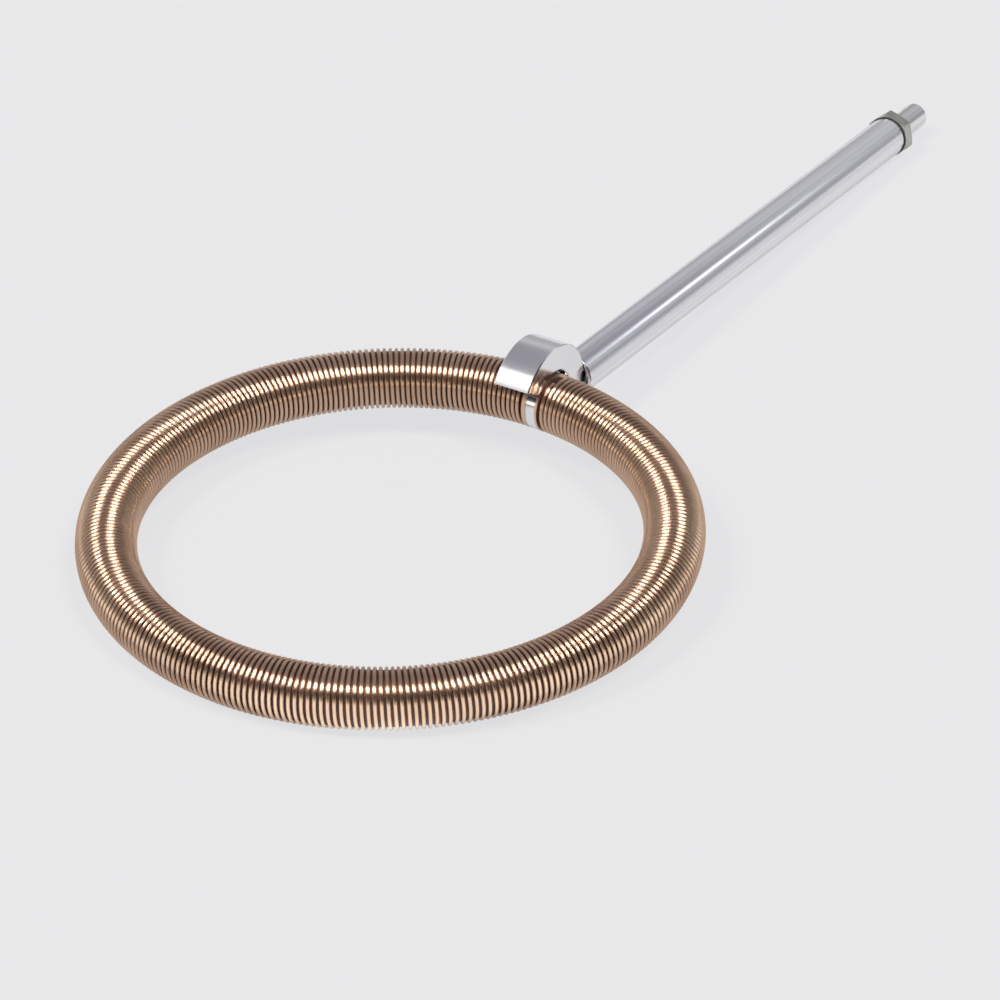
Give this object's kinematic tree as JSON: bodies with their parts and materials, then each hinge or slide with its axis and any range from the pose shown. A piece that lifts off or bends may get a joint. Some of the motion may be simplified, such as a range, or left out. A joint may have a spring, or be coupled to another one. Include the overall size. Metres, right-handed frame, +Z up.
{
  "type": "immersion wort chiller",
  "caption": "Wire-wound ring held by a hook-shaped saddle on a long straight stem tube, with a rubber washer, a thin hex nut and a smooth spigot.",
  "frame": {"origin": "on the ground, under the middle of the whole object as it lies", "axes": "+Y along the stem towards its spigot, +Z up from the ground, +X to the right seen from the ring towards the spigot"},
  "size_m": [0.2658, 0.5983, 0.0526],
  "materials": {
    "copper_wire": "polished",
    "copper_core": "satin",
    "polished_metal": "polished",
    "tube_metal": "brushed",
    "nut_steel": "turned",
    "inner_steel": "turned",
    "black_rubber": "matt",
    "bush_plastic": "matt"
  },
  "bodies": {
    "stem": {"eye_collar": "polished_metal", "saddle": "polished_metal", "tie_tube": "polished_metal", "feed_tube": "inner_steel", "stem_tube": "tube_metal", "lower_bush": "bush_plastic", "upper_bush": "bush_plastic"},
    "ring": {"winding": "copper_wire", "core_tube": "copper_core", "left_ferrule": "copper_wire", "right_ferrule": "copper_wire", "trunnion": "inner_steel", "left_seal": "black_rubber", "right_seal": "black_rubber"},
    "washer": {"end_washer": "black_rubber"},
    "nut": {"hex_nut": "nut_steel"}
  },
  "joints": [
    {"name": "ring_swivel", "type": "hinge", "parent": "stem", "child": "ring", "pos_m": [0.0046, -0.04639, 0.0263], "axis": [1, 0, 0], "range_deg": [-90, 90]},
    {"name": "nut_travel", "type": "slide", "parent": "stem", "child": "washer", "axis": [0, 0.9988, -0.0481], "range_m": [0, 0.006]},
    {"name": "nut_spin", "type": "hinge", "parent": "washer", "child": "nut", "pos_m": [0.0032, 0.27353, 0.0109], "axis": [0, 0.9988, -0.0481], "range_deg": [0, 2165]}
  ],
  "couplings": [
    {"joint": "nut_spin", "follows": "nut_travel", "rad_per_m": 6283.2}
  ]
}
